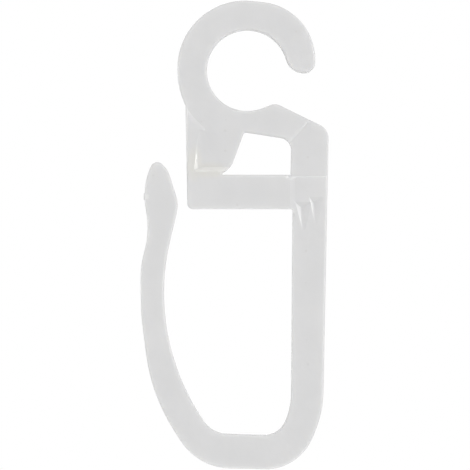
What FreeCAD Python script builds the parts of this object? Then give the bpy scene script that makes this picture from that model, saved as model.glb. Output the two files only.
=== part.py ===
import FreeCAD, Part
import math
import os

# Curtain hook, moulded in one piece from a milky translucent plastic.
# Frame: +X to the right and +Z up as the hook hangs, -Y towards the viewer.
# The origin is the centre of the open eye, half way through the thickness.
# All lengths are in millimetres, and all angles in degrees.

# Eye: the open ring that snaps over the eyelet of a glider
bore_radius = 3.10
ring_wall = 2.35

# Rounded end of the ring, and the lip across the mouth from it, as corners:
# the angle from +X, and then the distance outside the bore and the radius
ring_end_inner_angle = -0.3
ring_end_inner = (0.13, 1.45)
ring_end_outer_angle = -3.8
ring_end_outer = (2.13, 0.86)
lip_angle = -49.1
lip = (0.20, 0.92)

# Back of the ring, as corners: the same, but with the distance outside the ring's circle
ring_right_angle = 42.4
ring_right = (1.66, 4.44)
ring_left_angle = 129.8
ring_left = (2.31, 5.20)
ring_back_angle = 190.5
ring_back = (0.10, 6.40)

# Frame: post on the left, neck on top, shank on the right, crossbar below
post_inset = 0.87               # the post's foot, in from the ring's left side
frame_right = 6.14              # the shank's outer edge beside the crossbar's underside
side_draft = 1.15               # both outer edges lean in towards the foot
shoulder_drop = 4.49
shoulder_radius = 1.21
crossbar_drop = 10.63           # from the eye's centre to the crossbar's underside
crossbar_height = 2.64
crossbar_corner = 0.43
crossbar_inner_corner = 0.13    # between the crossbar and the shank

# Window between the neck, the shank, the crossbar and the slanted edge of the web
neck_depth = 1.62               # from the bore down to the window's upper left corner
neck_slope = 8.8                # fall of the window's upper edge to the right
window_left = 0.24              # upper left corner, left of the eye's centre
window_left_radius = 0.23
window_right_radius = 0.96
window_corner = 0.06
web_slope = 69.8                # slanted edge of the web, from level
web_knee_rise = 0.62            # where it turns in, above the crossbar
web_knee_radius = 1.40
web_toe_run = 0.84              # from the knee to where it meets the crossbar

# Shank and foot
shank_width_window = 2.86       # beside the window
shank_width_top = 2.66          # just below the crossbar
shank_width_foot = 2.45
hook_depth = 20.05              # from the crossbar's underside to the foot's underside
foot_height = 2.66
foot_inner_radius = 1.74
foot_inner_run = 0.88           # the inner right bend, from the shank's inner edge
foot_side_rise = 2.15           # where the inner bend starts, above the foot's floor
foot_side_radius = 5.28
foot_outer_radius = 3.94
foot_outer_run = 1.80           # the outer right bend, from the shank's outer edge
foot_outer_rise = 4.39
foot_outer_side_radius = 8.35

# Heel and lower arm, as corners: left of the post's foot, above the foot's underside, radius
heel_outer = (-0.78, 0.22, 4.60)
heel_inner = (-1.90, 2.82, 2.26)
arm_back_low = (2.79, 5.80, 14.30)

# Upper arm, and the oval end that closes the hook beside the crossbar, as corners:
# left of the post's foot, above the crossbar's underside, radius
arm_back_high = (3.58, -8.03, 20.00)
arm_bow = (3.10, -9.91, 17.40)
hip = (3.64, -4.57, 7.90)
waist = (2.96, -1.74, 6.66)
end_back = (3.47, 1.86, 5.25)
end_top = (2.50, 3.98, 0.52)
end_side = (1.53, 3.05, 1.70)
end_bulge = (0.68, 0.39, 2.30)

# Stub where the moulding was broken from its runner, on the oval end's outer edge
gate_rise = 0.97                # above the crossbar's underside
gate_radius = 0.24
gate_proud = 0.02               # beyond the straight line from the waist to the end's back
gate_root = 0.50

# Thickness of the shank, foot and arm, front to back, and the levels on each face
shank_thickness = 2.00
eye_step = 0.06                 # eye and neck above the face of the shank
frame_step = 0.13               # post and crossbar above it
window_step = 0.04              # the shank beside the window, below it
edge_radius = 0.15
window_edge_radius = 0.09       # beside the window

# Steps between the levels, each rounded along its top
step_radius = 0.50
step_inset = 0.12               # below the crossbar's upper edge
step_slope = 28.0               # from level, of the crossbar's step beside the window
window_step_radius = 0.25       # of the shank's step beside it
shoulder_step_run = 1.60        # in from the shoulder's outer corner to the foot of its step
shoulder_step_rise = 0.62       # above it
shoulder_step_slope = 48.1      # from level
shoulder_step_radius = 0.60
post_step_radius = 0.80         # along the ring's circle, above the post
ramp_start = 0.23               # the crossbar's face slopes down here, before the shank's inner edge
ramp_run = 0.44

# Web between the neck, the post and the crossbar: its faces fall back from the neck's
web_left = 3.23                 # left edge of its flat face, from the eye's centre
web_thickness = 1.80            # at its lower edge
web_ledge = 0.26                # from the wall below it down to the crossbar's upper edge
web_wall_run = 0.35             # that wall slopes up from the crossbar's face to the web's
web_round = 1.60                # hollow round between the post and the web
web_fillet = 0.15               # along its lower edge

# Two shallow grooves on each face of the shank below the crossbar, which run out down the shank.
# At the upper end, each has a steep left wall down to its floor, and rises gently to the right.
groove_length = 2.00
groove_lean = 5.0               # of the floor's line towards the outer edge
groove_end_run = 0.50           # their upper ends slope down to the floor
groove_fillet = 0.35            # along the floor
groove_drop = -0.07             # from the crossbar's underside down to the floor's upper end
groove_wall_side = 2.47         # from the shank's outer edge to the top of the wall
groove_wall_run = 0.50
groove_depth = 0.17
groove_rise_run = 0.80
outer_groove_drop = -0.45
outer_groove_wall_side = 1.41
outer_groove_wall_run = 0.38
outer_groove_depth = 0.11
outer_groove_rise_run = 0.75

# Levels and places worked out from the sizes above
ring_radius = bore_radius + ring_wall
frame_left = ring_radius - post_inset
bar_bottom = -crossbar_drop
bar_top = bar_bottom + crossbar_height
foot_bottom = bar_bottom - hook_depth
foot_floor = foot_bottom + foot_height
neck_bottom = -bore_radius - neck_depth
eye_thickness = shank_thickness + 2 * eye_step
frame_thickness = shank_thickness + 2 * frame_step
gap_middle = -frame_left - end_bulge[0] / 2
draft = math.tan(math.radians(side_draft))

# Blocks that limit a level, and cutters, reach past what they work on
past = edge_radius
beyond = frame_thickness

# Places nearer to each other than this count as the same place
same_place = 1e-4


def right_edge(z):
    """Outer edge of the shank at height z."""
    return frame_right + (z - bar_bottom) * draft


def left_edge(z):
    """Outer edge of the post at height z."""
    return -frame_left - (z - bar_bottom) * draft


def shank_inner(z):
    """Inner edge of the shank, which narrows evenly from the crossbar to the foot."""
    share = (bar_bottom - z) / (bar_bottom - foot_floor)
    width = shank_width_top + share * (shank_width_foot - shank_width_top)
    return right_edge(z) - width


def neck_line(x):
    """Lower edge of the neck, which is the upper edge of the window and the hollow."""
    return neck_bottom - (x + window_left) * math.tan(math.radians(neck_slope))


def polar(radius, angle):
    """Point at an angle about the eye's centre."""
    turn = math.radians(angle)
    return radius * math.cos(turn), radius * math.sin(turn)


def round_eye(angle, corner, circle):
    """Corner given by its angle and its distance outside a circle about the eye's centre."""
    outside, radius = corner
    return *polar(circle + outside, angle), radius


def beside_post(corner, level):
    """Corner given by its distance left of the post's foot and above a level."""
    left, rise, radius = corner
    return -frame_left - left, level + rise, radius


def bore_tangent(angle, outside, side):
    """Angle at which a straight from a corner outside the bore touches it."""
    return angle + side * math.degrees(math.acos(bore_radius / (bore_radius + outside)))


def at(x, z, y=0.0):
    """Point in the hook's plane, or y behind it."""
    return FreeCAD.Vector(x, y, z)


def rounded(corners, least_straight=0.01):
    """Edges along a path of corners (x, z, radius); its two ends stay sharp."""
    spots = [at(x, z) for x, z, radius in corners]
    reach = [0.0] * len(corners)
    for k in range(1, len(corners) - 1):
        before = spots[k - 1] - spots[k]
        after = spots[k + 1] - spots[k]
        reach[k] = corners[k][2] / math.tan(before.getAngle(after) / 2)
    sides = [(b - a).Length for a, b in zip(spots, spots[1:])]
    fits = [min(1.0, (side - least_straight) / max(near + far, least_straight))
            for side, near, far in zip(sides, reach, reach[1:])]
    edges = []
    last = spots[0]
    for k in range(1, len(corners) - 1):
        length = reach[k] * min(fits[k - 1], fits[k])
        back = (spots[k - 1] - spots[k]).normalize()
        ahead = (spots[k + 1] - spots[k]).normalize()
        start = spots[k] + back * length
        end = spots[k] + ahead * length
        edges.append(Part.makeLine(last, start))
        if length > 0:
            half = back.getAngle(ahead) / 2
            rise = length * (1 / math.cos(half) - math.tan(half))
            top = spots[k] + (back + ahead).normalize() * rise
            edges.append(Part.Arc(start, top, end).toShape())
        last = end
    edges.append(Part.makeLine(last, spots[-1]))
    return edges


def closed(corners):
    """Wire round a closed outline; the first corner stays sharp."""
    return Part.Wire(rounded(list(corners) + [corners[0]]))


def flat(*corners):
    """Flat face with straight sides."""
    return Part.Face(Part.makePolygon([*corners, corners[0]]))


def prism(face, front, back):
    """Solid between two depths over a flat face."""
    solid = face.copy()
    solid.translate(FreeCAD.Vector(0, front, 0))
    return solid.extrude(FreeCAD.Vector(0, back - front, 0))


def edges_at(solid, depth):
    """Edges that lie at one depth."""
    return [edge for edge in solid.Edges
            if max(abs(edge.BoundBox.YMin - depth), abs(edge.BoundBox.YMax - depth)) < same_place]


def slab(face, thickness, radius):
    """Plate about the mid plane, with its front and back edges rounded."""
    half = thickness / 2
    solid = prism(face, -half, half)
    return solid.makeFillet(radius, edges_at(solid, -half) + edges_at(solid, half))


def mirrored(solid):
    """The same solid on the other side of the mid plane."""
    return solid.mirror(FreeCAD.Vector(0, 0, 0), FreeCAD.Vector(0, 1, 0))


def other_side(radius, side):
    """Second coordinate of a point on a circle about the eye's centre, from its first."""
    return math.sqrt(radius ** 2 - side ** 2)


def post_top():
    """Where the post's outer edge meets the ring's circle, as a sharp corner."""
    foot = left_edge(0)
    squared = 1 + draft ** 2
    drop = (math.sqrt(squared * ring_radius ** 2 - foot ** 2) - foot * draft) / squared
    return left_edge(-drop), -drop, 0


def hook_wire():
    """Outer outline of the whole hook, clockwise from the foot of the lip."""
    lip_foot = bore_tangent(lip_angle, lip[0], -1)
    ring_end = bore_tangent(ring_end_inner_angle, ring_end_inner[0], 1)
    shoulder_z = -shoulder_drop
    bend_z = foot_bottom + foot_outer_rise
    side_z = foot_floor + foot_side_rise
    path = [
        (*polar(bore_radius, lip_foot), 0),
        round_eye(lip_angle, lip, bore_radius),
        (right_edge(shoulder_z), shoulder_z, shoulder_radius),
        (right_edge(bend_z), bend_z, foot_outer_side_radius),
        (right_edge(foot_bottom) - foot_outer_run, foot_bottom, foot_outer_radius),
        beside_post(heel_outer, foot_bottom),
        beside_post(arm_back_low, foot_bottom),
        beside_post(arm_back_high, bar_bottom),
        beside_post(hip, bar_bottom),
        beside_post(waist, bar_bottom),
        beside_post(end_back, bar_bottom),
        beside_post(end_top, bar_bottom),
        beside_post(end_side, bar_bottom),
        beside_post(end_bulge, bar_bottom),
        beside_post(arm_bow, bar_bottom),
        beside_post(heel_inner, foot_bottom),
        (shank_inner(foot_floor) - foot_inner_run, foot_floor, foot_inner_radius),
        (shank_inner(side_z), side_z, foot_side_radius),
        (shank_inner(bar_bottom), bar_bottom, crossbar_inner_corner),
        (left_edge(bar_bottom), bar_bottom, crossbar_corner),
        post_top(),
        round_eye(ring_back_angle, ring_back, ring_radius),
        round_eye(ring_left_angle, ring_left, ring_radius),
        round_eye(ring_right_angle, ring_right, ring_radius),
        round_eye(ring_end_outer_angle, ring_end_outer, bore_radius),
        round_eye(ring_end_inner_angle, ring_end_inner, bore_radius),
        (*polar(bore_radius, ring_end), 0),
    ]
    opposite = (ring_end + lip_foot) / 2 + 180
    bore = [at(*polar(bore_radius, angle)) for angle in (ring_end, opposite, lip_foot)]
    return Part.Wire(rounded(path) + [Part.Arc(*bore).toShape()])


def window_wire():
    """Outline of the window; on its left is the slanted edge of the web."""
    upper = right_edge(neck_bottom) - shank_width_window
    lower = right_edge(bar_top) - shank_width_window
    middle = (upper - window_left) / 2
    knee_z = bar_top + web_knee_rise
    knee_x = -window_left - (neck_bottom - knee_z) / math.tan(math.radians(web_slope))
    return closed([
        (middle, neck_line(middle), 0),
        (upper, neck_line(upper), window_right_radius),
        (lower, bar_top, window_corner),
        (knee_x - web_toe_run, bar_top, window_corner),
        (knee_x, knee_z, web_knee_radius),
        (-window_left, neck_bottom, window_left_radius),
    ])


def step_back(radius, height):
    """How far the foot of a rounded step lies inside the edge of the block that makes it."""
    return radius - math.sqrt(height * (2 * radius - height))


def shoulder_line(x):
    """Height of the foot of the step across the shoulder."""
    step_x = right_edge(-shoulder_drop) - shoulder_step_run
    step_z = -shoulder_drop + shoulder_step_rise
    return step_z + (x - step_x) * math.tan(math.radians(shoulder_step_slope))


def plain_limit():
    """Block over everything but the shank beside the window."""
    far = 2 * hook_depth
    inside = shank_inner(bar_top) - past
    level = bar_top - step_inset + step_back(window_step_radius, window_step)
    face = flat(at(-far, far), at(far, far), at(far, shoulder_line(far)), at(inside, shoulder_line(inside)),
                at(inside, level), at(far, level), at(far, -far), at(-far, -far))
    return slab(face, shank_thickness, window_step_radius)


def eye_limit():
    """Block over the eye, the neck and the web."""
    far = ring_radius + beyond
    inside = shank_inner(bar_top) - past
    level = bar_top - step_inset
    back = step_back(shoulder_step_radius, eye_step) / math.cos(math.radians(shoulder_step_slope))
    face = flat(at(-far, far), at(far, far), at(far, shoulder_line(far) - back),
                at(inside, shoulder_line(inside) - back), at(inside, level), at(gap_middle, level),
                at(gap_middle, neck_bottom), at(-far, neck_bottom))
    return slab(face, eye_thickness, shoulder_step_radius)


def post_limit():
    """Block over the post and the crossbar: its upper side follows the ring's circle."""
    far = ring_radius + beyond
    back = step_back(post_step_radius, frame_step - eye_step)
    circle = ring_radius - back
    top = post_top()[1] + back
    top_x = -other_side(circle, top)
    side = back - web_left
    side_z = -other_side(circle, side)
    low = bar_top + web_ledge + web_wall_run + post_step_radius + past
    half_way = (math.atan2(top, top_x) + math.atan2(side_z, side)) / 2
    middle = at(*polar(circle, math.degrees(half_way)))
    edge = Part.Arc(at(top_x, top), middle, at(side, side_z)).toShape()
    rest = Part.makePolygon([at(side, side_z), at(side, low), at(far, low), at(far, foot_bottom),
                             at(-far, foot_bottom), at(-far, top), at(top_x, top)])
    return slab(Part.Face(Part.Wire([edge] + rest.Edges)), frame_thickness, post_step_radius)


def crossbar_limit():
    """Block over the post and the crossbar: its right end slopes down to the shank's face."""
    far = ring_radius + beyond
    inside = shank_inner(bar_top) - past
    ramp_top = shank_inner(bar_top) - ramp_start
    end = ramp_top + ramp_run + step_radius
    foot = at(inside, bar_top - step_inset, window_step - shank_thickness / 2)
    high = foot.z + step_back(step_radius, frame_step + window_step)
    low = bar_bottom - step_radius
    face = flat(at(gap_middle, far), at(inside, far), at(inside, high), at(end, high), at(end, low),
                at(gap_middle, low))
    front = -frame_thickness / 2
    fall = (end - ramp_top) * frame_step / ramp_run
    ramp = flat(at(ramp_top, high, front), at(end, high, front + fall), at(end, high, -beyond),
                at(ramp_top, high, -beyond)).extrude(at(0, low - high))
    run = (beyond + foot.y) / math.tan(math.radians(step_slope))
    step = flat(foot, at(inside, foot.z - run, -beyond), at(inside, foot.z, -beyond)).extrude(at(far, 0))
    block = slab(face, frame_thickness, step_radius)
    for cutter in (ramp, step):
        block = block.cut(cutter).cut(mirrored(cutter))
    return block


def web_hollow():
    """Cutter in front of the web; its floor comes forward from the web's face to the neck's."""
    floor = -web_thickness / 2
    bottom = bar_top + web_ledge + web_wall_run
    rise = neck_bottom - bottom
    lean = (eye_thickness / 2 + floor) / rise
    wall_lean = (frame_thickness / 2 + floor) / web_wall_run
    drop = web_wall_run + past
    height = rise + drop + past
    half_turn = math.sqrt(0.5)
    left = -web_left - web_round
    bend = Part.Arc(at(left, bottom, floor - web_round),
                    at(-web_left - web_round * half_turn, bottom, floor - web_round * (1 - half_turn)),
                    at(-web_left, bottom, floor)).toShape()
    rest = Part.makePolygon([
        at(-web_left, bottom, floor), at(-window_left, bottom, floor),
        at(-window_left, bottom, floor - beyond), at(left, bottom, floor - beyond),
        at(left, bottom, floor - web_round)])
    section = Part.Face(Part.Wire([bend] + rest.Edges))
    section.translate(at(0, -drop, drop * lean))
    below = flat(at(left, bottom, floor), at(left, bottom - drop, floor - drop * wall_lean),
                 at(left, bottom - drop, beyond), at(left, bottom, beyond))
    block = section.extrude(at(0, height, -height * lean)).cut(below.extrude(at(-left, 0)))
    low = [edge for edge in block.Edges
           if edge.BoundBox.ZMax < bottom + same_place and edge.BoundBox.YMax > floor - same_place]
    return block.makeFillet(web_fillet, low)


def groove(drop, wall_side, wall_run, depth, rise_run):
    """Cutter for a groove that runs out down the shank."""
    z = bar_bottom - drop
    floor_x = right_edge(z) - wall_side + wall_run
    floor = at(floor_x, z, depth - shank_thickness / 2)
    scale = (depth + beyond) / depth
    top = z + groove_end_run * scale
    front = floor.y - depth * scale
    section = flat(floor, at(floor_x + rise_run * scale, top, front),
                   at(floor_x - wall_run * scale, top, front))
    turn = math.radians(groove_lean)
    block = section.extrude(at(groove_length * math.sin(turn), -groove_length * math.cos(turn), -depth))
    low = [edge for edge in block.Edges
           if edge.BoundBox.YMax > floor.y - same_place and edge.BoundBox.ZMin < z - same_place]
    return block.makeFillet(groove_fillet, low)


def gate_stub():
    """Short round stub on the oval end's outer edge."""
    low_x, low_z = beside_post(waist, bar_bottom)[:2]
    high_x, high_z = beside_post(end_back, bar_bottom)[:2]
    z = bar_bottom + gate_rise
    x = low_x + (high_x - low_x) * (z - low_z) / (high_z - low_z)
    return Part.makeCylinder(gate_radius, gate_root, at(x - gate_proud, z), FreeCAD.Vector(1, 0, 0))


def curtain_hook():
    """The whole moulding as one solid."""
    face = Part.Face(hook_wire()).cut(Part.Face(window_wire())).Faces[0]
    body = slab(face, shank_thickness - 2 * window_step, window_edge_radius).fuse([
        slab(face, shank_thickness, edge_radius).common(plain_limit()),
        slab(face, eye_thickness, edge_radius).common(eye_limit()),
        slab(face, frame_thickness, edge_radius).common(post_limit()).common(crossbar_limit())])
    inner_groove = groove(groove_drop, groove_wall_side, groove_wall_run, groove_depth, groove_rise_run)
    outer_groove = groove(outer_groove_drop, outer_groove_wall_side, outer_groove_wall_run,
                          outer_groove_depth, outer_groove_rise_run)
    for cutter in (web_hollow(), inner_groove, outer_groove):
        body = body.cut(cutter).cut(mirrored(cutter))
    return body.fuse(gate_stub()).removeSplitter().Solids[0]


os.makedirs("parts", exist_ok=True)
curtain_hook().exportStep("parts/curtain_hook.step")
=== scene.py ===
import math

import bpy
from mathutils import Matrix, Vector


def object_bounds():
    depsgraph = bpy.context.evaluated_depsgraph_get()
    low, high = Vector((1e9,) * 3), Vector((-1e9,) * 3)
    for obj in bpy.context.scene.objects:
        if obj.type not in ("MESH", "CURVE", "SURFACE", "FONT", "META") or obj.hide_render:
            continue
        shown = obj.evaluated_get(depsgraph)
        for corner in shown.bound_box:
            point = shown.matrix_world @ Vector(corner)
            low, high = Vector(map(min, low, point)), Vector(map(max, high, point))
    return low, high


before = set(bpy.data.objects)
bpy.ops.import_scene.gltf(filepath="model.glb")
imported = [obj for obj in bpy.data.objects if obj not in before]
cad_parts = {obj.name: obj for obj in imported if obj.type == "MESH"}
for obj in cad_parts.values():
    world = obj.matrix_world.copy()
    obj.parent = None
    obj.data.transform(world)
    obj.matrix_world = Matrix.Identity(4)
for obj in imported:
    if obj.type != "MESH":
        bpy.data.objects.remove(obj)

# A curtain hook, moulded in one piece from a milky plastic. It hangs by its eye in a white studio.
# The scene is in metres, in the hook's own frame: +X to the right, +Z up, and the eye's centre at
# the origin. Sizes are written in millimetres and turned into metres by MM.
MM = 0.001

# The photograph: a square, seen from straight in front and from far away
PHOTO_PIXELS = 470
EYE_PIXEL = (247.2, 70.6)               # the eye's centre, from the photograph's upper left corner
PIXEL_SIZE = 0.07671 * MM               # what one pixel covers on the hook
LENS_MM = 600
SENSOR_MM = 36

# The plastic's colour: clear and cloudy patches and specks, with a painted warm highlight tint
# along the hollow's walls and a painted highlight at the gate's mark
CLEAR_COLOUR = (0.690, 0.690, 0.692, 1)
CLOUDY_COLOUR = (0.708, 0.707, 0.709, 1)
# Painted highlight: the warm, lighter tint laid where the glints fall along the hollow's walls
GLINT_TINT_COLOUR = (0.715, 0.705, 0.670, 1)
GLINT_TINT_SHARE = 0.7
SPECK_COLOUR = (0.60, 0.59, 0.58, 1)
SPECK_SHARE = 0.4
# Painted highlight: a lighter spot where light catches the gate's stub
GATE_HIGHLIGHT_COLOUR = (0.735, 0.735, 0.73, 1)

# Painted highlight: a warm, slightly lighter tint where the glints fall along the hollow's two
# walls. Each patch has its middle
# and its squeeze: below 1 it is long that way, above 1 it is narrow.
GLINT_TINT_PATCHES = [(Vector((-4.04, 0, -7.16)) * MM, (1.5, 0, 0.75)),
                (Vector((-3.00, 0, -7.63)) * MM, (0.6, 0, 1.6))]
GLINT_TINT_FADE = (0.5 * MM, 1.3 * MM)        # a patch fades out between these distances

# The gate, where the moulding was broken from its runner, leaves a rougher mark, with a painted
# highlight laid on it as a lighter spot
GATE_PLACE = Vector((-7.74, 0, -9.66)) * MM
GATE_FADE = (0.08 * MM, 0.32 * MM)      # the mark fades out between these distances
GATE_ROUGHNESS = 0.2                    # added to the plastic's own

# The plastic's surface
PLASTIC_ROUGHNESS = (0.14, 0.25)        # between these, from place to place
GRAIN_SIZE = 0.16 * MM
SEAM_FADE = (0.02 * MM, 0.05 * MM)      # the mould's parting seam, from the middle of the thickness
BUMP_DEPTH = 0.02 * MM                  # the seam's depth; the rest are shares of it
GRAIN_DEPTH = 0.03
RING_DEPTH = 0.06
CLOUD_DEPTH = 0.8

# The light inside the plastic
PLASTIC_IOR = 1.48
SCATTER_SHARE = 0.6
SCATTER_REACH = 0.7 * MM
SCATTER_COLOUR = (1.0, 0.98, 0.92)      # how much of that reach red, green and blue light have

# The studio
FLOOR_GAP = 12 * MM                     # the hook hangs this far above the floor
FLOOR_SIZE = 600 * MM
FLOOR_COLOUR = (0.86, 0.86, 0.86, 1)
FLOOR_ROUGHNESS = 0.9
FLOOR_LIFT = 0.16                       # what the camera sees beside the lamps' light
SKY_LEVEL = 0.463                       # light from all round, where the camera sees pure white
WHITE = (1, 1, 1, 1)

# The lamps: name, angle from the right as the camera sees it, angle off the camera's line, radiance
# and size. The tall strip on the right lights the hollow's wall and the grooves together, and the
# last three stand behind the hook and fill its far edges.
LAMP_DISTANCE = 900 * MM
SQUARE = (300 * MM, 300 * MM)
STRIP = (210 * MM, 400 * MM)
LAMPS = [
    ("lamp_right", 1, 50, 7.0, STRIP),
    ("lamp_upper_right", 45, 46, 2.2, SQUARE),
    ("lamp_above", 88, 58, 5.0, SQUARE),
    ("lamp_lower_right", 315, 50, 3.3, SQUARE),
    ("lamp_left", 180, 52, 3.0, SQUARE),
    ("lamp_lower_left", 225, 52, 2.4, SQUARE),
    ("rim_left", 180, 100, 4.0, SQUARE),
    ("rim_below", 270, 100, 6.0, SQUARE),
    ("lamp_behind", 120, 140, 3.0, SQUARE),
]

CAD_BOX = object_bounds()


def put(tree, kind, inputs=None, **settings):
    """Adds a node. Each input is named or numbered, and is a value or an output to link from."""
    node = tree.nodes.new(kind)
    for name, value in settings.items():
        setattr(node, name, value)
    for name, value in (inputs or {}).items():
        if isinstance(value, bpy.types.NodeSocket):
            tree.links.new(value, node.inputs[name])
        else:
            node.inputs[name].default_value = value
    return node


def calculate(tree, operation, *values):
    """One sum on numbers that vary over the surface."""
    node = put(tree, "ShaderNodeMath", dict(enumerate(values)), operation=operation)
    return node.outputs[0]


def smooth_range(tree, value, start, end, low=0.0, high=1.0):
    """Turns start..end smoothly into low..high."""
    node = put(tree, "ShaderNodeMapRange",
               {"Value": value, "From Min": start, "From Max": end, "To Min": low, "To Max": high},
               interpolation_type="SMOOTHSTEP")
    return node.outputs["Result"]


def fade_out(tree, distance, fade):
    """1 up to the first distance of the fade, and 0 from the second."""
    return smooth_range(tree, distance, fade[0], fade[1], 1.0, 0.0)


def blend_colour(tree, share, first, second):
    """Mixes two colours by a share that varies over the surface."""
    node = put(tree, "ShaderNodeMix", {0: share, 6: first, 7: second}, data_type="RGBA")
    return node.outputs[2]


def distance_from(tree, place, point, squeeze=(1, 0, 1)):
    """Distance from a point, measured in the hook's plane so that both faces are alike."""
    offset = put(tree, "ShaderNodeVectorMath", {0: place, 1: point}, operation="SUBTRACT")
    flat = put(tree, "ShaderNodeVectorMath", {0: offset.outputs[0], 1: squeeze},
               operation="MULTIPLY")
    node = put(tree, "ShaderNodeVectorMath", {0: flat.outputs[0]}, operation="LENGTH")
    return node.outputs["Value"]


def new_group(name, inputs, outputs):
    """Empty shader group with named sockets; returns the tree, its inputs and its output node."""
    tree = bpy.data.node_groups.new(name, "ShaderNodeTree")
    for label, kind, default in inputs:
        socket = tree.interface.new_socket(label, in_out="INPUT", socket_type=kind)
        if default is not None:
            socket.default_value = default
    for label, kind in outputs:
        tree.interface.new_socket(label, in_out="OUTPUT", socket_type=kind)
    start = tree.nodes.new("NodeGroupInput")
    end = tree.nodes.new("NodeGroupOutput")
    return tree, start.outputs, end.inputs


def use_group(tree, group, inputs):
    """Places a group in a tree and returns its outputs."""
    return put(tree, "ShaderNodeGroup", inputs, node_tree=group).outputs


def cloud_group():
    """Soft clouding inside the plastic, as light and dark patches."""
    tree, given, out = new_group(
        "milky_clouding",
        [("Place", "NodeSocketVector", None), ("Patch size", "NodeSocketFloat", 2.5 * MM)],
        [("Clouding", "NodeSocketFloat")])
    scale = calculate(tree, "DIVIDE", 1.0, given["Patch size"])
    broad = put(tree, "ShaderNodeTexNoise",
                {"Vector": given["Place"], "Scale": scale, "Detail": 3.0, "Roughness": 0.55})
    tree.links.new(smooth_range(tree, broad.outputs["Fac"], 0.3, 0.7), out["Clouding"])
    return tree


def flow_group():
    """Flow rings that spread from the gate and die away along the moulding."""
    tree, given, out = new_group(
        "flow_rings",
        [("Place", "NodeSocketVector", None), ("Ring spacing", "NodeSocketFloat", 0.5 * MM),
         ("Reach", "NodeSocketFloat", 20 * MM), ("Waver", "NodeSocketFloat", 0.6 * MM)],
        [("Rings", "NodeSocketFloat")])
    reach = distance_from(tree, given["Place"], GATE_PLACE)
    waver = put(tree, "ShaderNodeTexNoise",
                {"Vector": given["Place"], "Scale": 700.0, "Detail": 2.0})
    shift = calculate(tree, "MULTIPLY", waver.outputs["Fac"], given["Waver"])
    turns = calculate(tree, "DIVIDE", calculate(tree, "ADD", reach, shift), given["Ring spacing"])
    wave = calculate(tree, "SINE", calculate(tree, "MULTIPLY", turns, math.tau))
    fade = calculate(tree, "SUBTRACT", 1.0, calculate(tree, "DIVIDE", reach, given["Reach"]))
    rings = calculate(tree, "MULTIPLY", wave, calculate(tree, "MAXIMUM", fade, 0.0))
    tree.links.new(rings, out["Rings"])
    return tree


def speck_group():
    """Sparse dark specks, one in a few cells of the plastic."""
    tree, given, out = new_group(
        "fine_specks",
        [("Place", "NodeSocketVector", None), ("Cell size", "NodeSocketFloat", 0.9 * MM),
         ("Share of cells", "NodeSocketFloat", 0.2)],
        [("Specks", "NodeSocketFloat")])
    scale = calculate(tree, "DIVIDE", 1.0, given["Cell size"])
    cells = put(tree, "ShaderNodeTexVoronoi", {"Vector": given["Place"], "Scale": scale})
    colour = put(tree, "ShaderNodeSeparateColor", {"Color": cells.outputs["Color"]})
    dots = fade_out(tree, cells.outputs["Distance"], (0.05, 0.17))
    chosen = calculate(tree, "LESS_THAN", colour.outputs["Red"], given["Share of cells"])
    tree.links.new(calculate(tree, "MULTIPLY", dots, chosen), out["Specks"])
    return tree


def plastic_colour(tree, place, clouding, gate):
    """The plastic's colour, with its clouding and specks, a painted warm highlight tint along the
    hollow's walls and a painted highlight at the gate's mark.
    """
    specks = use_group(tree, speck_group(), {"Place": place})["Specks"]
    # Painted highlight: warm, lighter tint where the glints fall along the hollow's walls
    glint_tint = 0.0
    for middle, squeeze in GLINT_TINT_PATCHES:
        patch = fade_out(tree, distance_from(tree, place, middle, squeeze), GLINT_TINT_FADE)
        glint_tint = calculate(tree, "MAXIMUM", glint_tint, patch)
    glint_tint = calculate(tree, "MULTIPLY", glint_tint, GLINT_TINT_SHARE)
    specks = calculate(tree, "MULTIPLY", specks, SPECK_SHARE)

    colour = blend_colour(tree, clouding, CLEAR_COLOUR, CLOUDY_COLOUR)
    colour = blend_colour(tree, glint_tint, colour, GLINT_TINT_COLOUR)
    colour = blend_colour(tree, specks, colour, SPECK_COLOUR)
    # Painted highlight: a lighter spot at the gate's mark
    return blend_colour(tree, gate, colour, GATE_HIGHLIGHT_COLOUR)


def plastic_height(tree, place, clouding, grain):
    """The surface's height: fine grain, flow rings, the clouding's swells and the mould's seam."""
    rings = use_group(tree, flow_group(), {"Place": place})["Rings"]
    parts = put(tree, "ShaderNodeSeparateXYZ", {0: place})
    off_middle = calculate(tree, "ABSOLUTE", parts.outputs["Y"])
    seam = fade_out(tree, off_middle, SEAM_FADE)
    height = calculate(tree, "MULTIPLY", grain, GRAIN_DEPTH)
    height = calculate(tree, "ADD", height, calculate(tree, "MULTIPLY", rings, RING_DEPTH))
    height = calculate(tree, "ADD", height, calculate(tree, "MULTIPLY", clouding, CLOUD_DEPTH))
    return calculate(tree, "ADD", height, seam)


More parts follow.
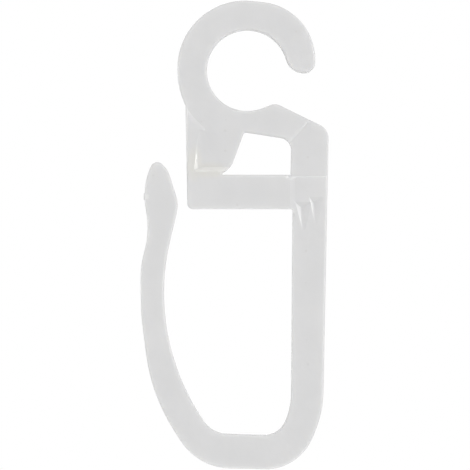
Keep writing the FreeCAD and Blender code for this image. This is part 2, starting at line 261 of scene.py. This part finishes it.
def plastic_material():
    """Milky, slightly translucent plastic as it comes from the mould."""
    material = bpy.data.materials.new("milky_plastic")
    material.use_nodes = True
    tree = material.node_tree
    shader = tree.nodes["Principled BSDF"]
    place = put(tree, "ShaderNodeTexCoord").outputs["Object"]

    clouding = use_group(tree, cloud_group(), {"Place": place})["Clouding"]
    gate = fade_out(tree, distance_from(tree, place, GATE_PLACE), GATE_FADE)
    grain = put(tree, "ShaderNodeTexNoise",
                {"Vector": place, "Scale": 1 / GRAIN_SIZE, "Detail": 3.0, "Roughness": 0.6})
    grain = grain.outputs["Fac"]

    colour = plastic_colour(tree, place, clouding, gate)
    tree.links.new(colour, shader.inputs["Base Color"])

    roughness = smooth_range(tree, grain, 0.25, 0.75, *PLASTIC_ROUGHNESS)
    gate_roughness = calculate(tree, "MULTIPLY", gate, GATE_ROUGHNESS)
    roughness = calculate(tree, "ADD", roughness, gate_roughness)
    tree.links.new(roughness, shader.inputs["Roughness"])

    height = plastic_height(tree, place, clouding, grain)
    bump = put(tree, "ShaderNodeBump", {"Height": height, "Strength": 1.0, "Distance": BUMP_DEPTH})
    tree.links.new(bump.outputs["Normal"], shader.inputs["Normal"])

    shader.inputs["IOR"].default_value = PLASTIC_IOR
    shader.inputs["Subsurface Weight"].default_value = SCATTER_SHARE
    shader.inputs["Subsurface Radius"].default_value = SCATTER_COLOUR
    shader.inputs["Subsurface Scale"].default_value = SCATTER_REACH
    return material


def dress_hook():
    """Gives the hook its plastic."""
    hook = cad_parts["curtain_hook"]
    material = plastic_material()
    for slot in hook.material_slots:
        slot.material = material


def make_world():
    """Even white light from all round; the camera, gloss and glass see it as pure white."""
    world = bpy.data.worlds.new("white_studio")
    world.use_nodes = True
    tree = world.node_tree
    tree.nodes.clear()
    path = put(tree, "ShaderNodeLightPath").outputs
    seen = calculate(tree, "MAXIMUM", path["Is Camera Ray"], path["Is Glossy Ray"])
    seen = calculate(tree, "MAXIMUM", seen, path["Is Transmission Ray"])
    light = put(tree, "ShaderNodeBackground", {"Color": WHITE, "Strength": SKY_LEVEL})
    white = put(tree, "ShaderNodeBackground", {"Color": WHITE, "Strength": 1.0})
    mixed = put(tree, "ShaderNodeMixShader", {0: seen, 1: light.outputs[0], 2: white.outputs[0]})
    put(tree, "ShaderNodeOutputWorld", {"Surface": mixed.outputs[0]})
    bpy.context.scene.world = world


def make_lamp(name, turn, off_axis, radiance, size):
    """Soft lamp that faces the hook. The angles are in degrees, as in LAMPS."""
    width, height = size
    data = bpy.data.lights.new(name, "AREA")
    data.shape = "RECTANGLE"
    data.size = width
    data.size_y = height
    data.energy = radiance * math.pi * width * height
    lamp = bpy.data.objects.new(name, data)
    turn = math.radians(turn)
    off_axis = math.radians(off_axis)
    aside = math.sin(off_axis)
    towards = Vector((aside * math.cos(turn), -math.cos(off_axis), aside * math.sin(turn)))
    middle = (CAD_BOX[0] + CAD_BOX[1]) / 2
    lamp.location = middle + towards * LAMP_DISTANCE
    lamp.rotation_mode = "QUATERNION"
    lamp.rotation_quaternion = towards.to_track_quat("Z", "Y")
    bpy.context.scene.collection.objects.link(lamp)


def make_floor():
    """Pale floor under the hook, which shows the hook's shadow and no edge of its own."""
    half = FLOOR_SIZE / 2
    level = CAD_BOX[0].z - FLOOR_GAP
    mesh = bpy.data.meshes.new("floor")
    mesh.from_pydata([(-half, -half, level), (half, -half, level), (half, half, level),
                      (-half, half, level)], [], [(0, 1, 2, 3)])
    floor = bpy.data.objects.new("floor", mesh)
    bpy.context.scene.collection.objects.link(floor)
    floor.visible_shadow = False

    material = bpy.data.materials.new("floor_paper")
    material.use_nodes = True
    tree = material.node_tree
    shader = tree.nodes["Principled BSDF"]
    shader.inputs["Base Color"].default_value = FLOOR_COLOUR
    shader.inputs["Roughness"].default_value = FLOOR_ROUGHNESS
    path = put(tree, "ShaderNodeLightPath").outputs
    lift = calculate(tree, "MULTIPLY", path["Is Camera Ray"], FLOOR_LIFT)
    shader.inputs["Emission Color"].default_value = WHITE
    tree.links.new(lift, shader.inputs["Emission Strength"])
    mesh.materials.append(material)


def make_camera():
    """Camera straight in front of the hook, with the eye where the photograph has it."""
    data = bpy.data.cameras.new("photo_camera")
    data.lens = LENS_MM
    data.sensor_width = SENSOR_MM
    camera = bpy.data.objects.new("photo_camera", data)
    distance = PHOTO_PIXELS * PIXEL_SIZE * LENS_MM / SENSOR_MM
    half = PHOTO_PIXELS / 2
    camera.location = ((half - EYE_PIXEL[0]) * PIXEL_SIZE, CAD_BOX[0].y - distance,
                       (EYE_PIXEL[1] - half) * PIXEL_SIZE)
    camera.rotation_euler = (math.radians(90), 0, 0)
    bpy.context.scene.collection.objects.link(camera)
    bpy.context.scene.camera = camera


dress_hook()
make_world()
for lamp_settings in LAMPS:
    make_lamp(*lamp_settings)
make_floor()
make_camera()

bpy.context.scene.view_settings.view_transform = "Standard"
